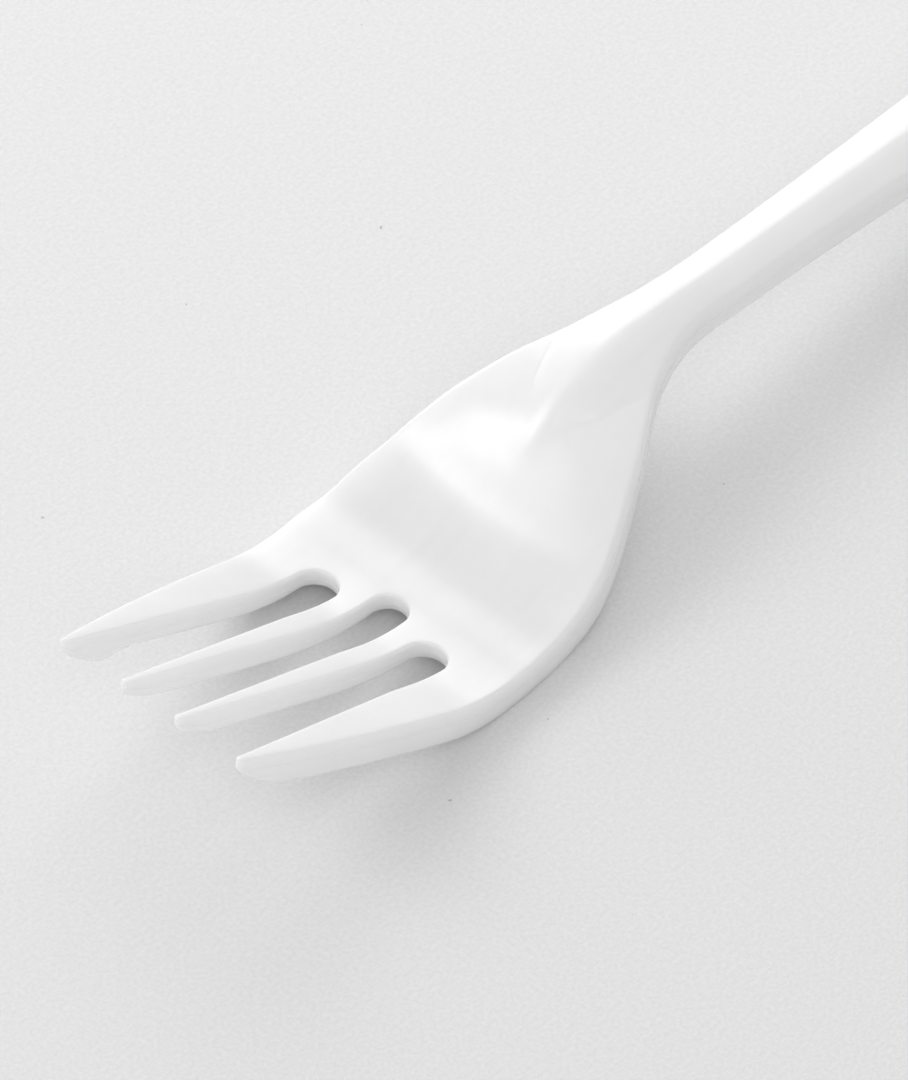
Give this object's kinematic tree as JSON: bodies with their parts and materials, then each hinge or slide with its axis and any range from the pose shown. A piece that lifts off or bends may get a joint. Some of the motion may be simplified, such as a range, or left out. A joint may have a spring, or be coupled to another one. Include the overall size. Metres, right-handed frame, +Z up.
{
  "type": "plastic fork",
  "caption": "White disposable plastic fork, moulded in one piece, with pointed tines, a shallow dished head and a ridged handle that is hollow underneath.",
  "frame": {"origin": "the point of the table under the middle of the fork's bounding box", "axes": "+X from the tines to the handle's end, +Y across the tines, +Z up from the table the fork lies on"},
  "size_m": [0.165, 0.0256, 0.0155],
  "materials": {
    "white_plastic": "white injection-moulded plastic, glossy with a faint orange-peel"
  },
  "bodies": {
    "root": {"fork": "white_plastic"}
  },
  "joints": []
}
